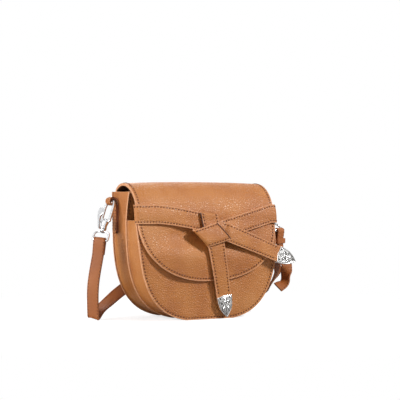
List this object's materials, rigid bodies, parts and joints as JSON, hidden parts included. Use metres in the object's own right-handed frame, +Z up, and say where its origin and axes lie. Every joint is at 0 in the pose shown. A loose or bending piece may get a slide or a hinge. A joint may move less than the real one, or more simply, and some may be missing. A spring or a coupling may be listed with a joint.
{
  "type": "shoulder bag",
  "caption": "Half-moon leather shoulder bag with two lined compartments, a front flap with a knotted belt and metal tips, swivel snap clasps and a buckled strap.",
  "frame": {"origin": "centre of the flat base that the bag stands on, under the middle panel", "axes": "+X across the bag to the right seen from its front, +Z up, -Y towards the front where the flap falls"},
  "size_m": [0.2695, 0.1422, 0.1654],
  "materials": {
    "bag_leather": "tan pebble-grain calf leather with pale raw edges and darker stitching",
    "strap_leather": "smooth tan leather strap with painted edges",
    "lining_cloth": "plain beige woven cotton",
    "clasp_metal": "polished silver-tone cast metal",
    "tip_metal": "polished silver-tone metal with darkened relief",
    "magnet_steel": "nickel-plated magnet"
  },
  "bodies": {
    "bag": {"back_panel": "bag_leather", "rear_gusset": "bag_leather", "middle_panel": "bag_leather", "front_gusset": "bag_leather", "front_panel": "bag_leather", "main_lining": "lining_cloth", "pocket_lining": "lining_cloth", "flap_root": "bag_leather", "pocket_magnet": "magnet_steel", "left_tab": "bag_leather", "right_tab": "bag_leather", "left_hook": "clasp_metal", "right_hook": "clasp_metal", "left_strap_run": "strap_leather", "rear_strap_run": "strap_leather", "stowed_strap": "strap_leather", "right_strap_run": "strap_leather", "strap_tail": "strap_leather", "buckle_strap": "strap_leather", "buckle_frame": "clasp_metal"},
    "flap": {"flap": "bag_leather", "flap_magnet": "magnet_steel", "belt_left": "bag_leather", "belt_right": "bag_leather", "knot_core": "bag_leather", "knot_fold": "bag_leather", "knot_band": "bag_leather"},
    "drop_tail": {"drop_tail": "bag_leather", "drop_tip": "tip_metal", "drop_tip_pins": "tip_metal"},
    "side_tail": {"side_tail": "bag_leather", "side_tip": "tip_metal", "side_tip_pins": "tip_metal"},
    "left_gate": {"left_gate": "clasp_metal"},
    "right_gate": {"right_gate": "clasp_metal"},
    "left_swivel": {"left_swivel_eye": "clasp_metal", "left_strap_end": "strap_leather"},
    "right_swivel": {"right_swivel_eye": "clasp_metal", "right_strap_end": "strap_leather"},
    "keeper": {"strap_keeper": "strap_leather"},
    "tongue": {"buckle_tongue": "clasp_metal"}
  },
  "joints": [
    {"name": "flap_lift", "type": "hinge", "parent": "bag", "child": "flap", "pos_m": [0, 0.04186, 0.1532], "axis": [-1, 0, 0], "range_deg": [0, 130]},
    {"name": "drop_tail_lift", "type": "hinge", "parent": "flap", "child": "drop_tail", "pos_m": [0.00462, -0.04522, 0.08646], "axis": [-0.9833, 0, -0.1822], "range_deg": [0, 70]},
    {"name": "side_tail_lift", "type": "hinge", "parent": "flap", "child": "side_tail", "pos_m": [0.0286, -0.04235, 0.10164], "axis": [-0.3687, -0.1044, -0.9236], "range_deg": [0, 60]},
    {"name": "left_gate_press", "type": "hinge", "parent": "bag", "child": "left_gate", "pos_m": [-0.11353, 0.02651, 0.11999], "axis": [0.8164, 0.3298, -0.4741], "range_deg": [0, 9], "stiffness_Nm_per_rad": 0.02, "springref_deg": -6.88},
    {"name": "left_swivel_turn", "type": "hinge", "parent": "bag", "child": "left_swivel", "pos_m": [-0.11667, 0.01732, 0.1082], "axis": [0.4038, 0.2609, 0.8769], "range_deg": [-20, 20]},
    {"name": "right_gate_press", "type": "hinge", "parent": "bag", "child": "right_gate", "pos_m": [0.11288, 0.01683, 0.12226], "axis": [0.7405, -0.2992, 0.6018], "range_deg": [0, 9], "stiffness_Nm_per_rad": 0.02, "springref_deg": -6.88},
    {"name": "right_swivel_turn", "type": "hinge", "parent": "bag", "child": "right_swivel", "pos_m": [0.11402, 0.0038, 0.11438], "axis": [-0.3353, 0.6116, 0.7166], "range_deg": [-20, 20]},
    {"name": "keeper_slide", "type": "slide", "parent": "right_swivel", "child": "keeper", "axis": [0.0057, 0.0241, -0.9997], "range_m": [-0.004, 0.0005]},
    {"name": "tongue_lift", "type": "hinge", "parent": "bag", "child": "tongue", "pos_m": [0.11895, -0.00454, 0.07798], "axis": [-0.8848, -0.466, 0], "range_deg": [0, 8]}
  ]
}
